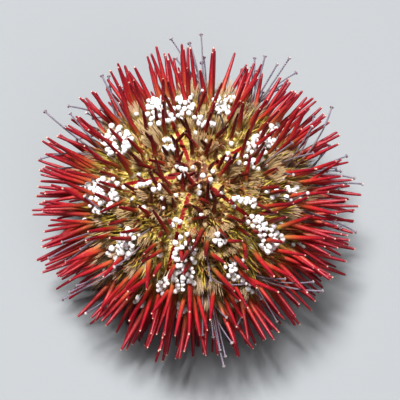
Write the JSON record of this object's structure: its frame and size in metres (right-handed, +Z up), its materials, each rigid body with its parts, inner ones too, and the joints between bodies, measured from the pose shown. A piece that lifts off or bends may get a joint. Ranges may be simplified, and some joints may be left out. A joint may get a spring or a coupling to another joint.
{
  "type": "variegated sea urchin",
  "caption": "Live variegated sea urchin with red spines, white pedicellariae and long tube feet, standing on its lower spines.",
  "frame": {"origin": "on the floor under the middle of the whole animal", "axes": "+Z up from the mouth to the apex, -Y towards the viewer of the picture, +X to the picture's right"},
  "size_m": [0.0982, 0.1046, 0.0495],
  "materials": {
    "ambulacral_skin": "satin",
    "interambulacral_skin": "satin",
    "apical_plate": "satin",
    "soft_membrane": "satin",
    "tooth": "gloss"
  },
  "bodies": {
    "root": {"ambulacrum_1": "ambulacral_skin", "ambulacrum_2": "ambulacral_skin", "ambulacrum_3": "ambulacral_skin", "ambulacrum_4": "ambulacral_skin", "ambulacrum_5": "ambulacral_skin", "interambulacrum_1": "interambulacral_skin", "interambulacrum_2": "interambulacral_skin", "interambulacrum_3": "interambulacral_skin", "interambulacrum_4": "interambulacral_skin", "interambulacrum_5": "interambulacral_skin", "genital_plate_1": "apical_plate", "madreporite": "apical_plate", "genital_plate_3": "apical_plate", "genital_plate_4": "apical_plate", "genital_plate_5": "apical_plate", "periproct": "soft_membrane", "peristome": "soft_membrane", "tooth_1": "tooth", "tooth_2": "tooth", "tooth_3": "tooth", "tooth_4": "tooth", "tooth_5": "tooth"}
  },
  "joints": []
}
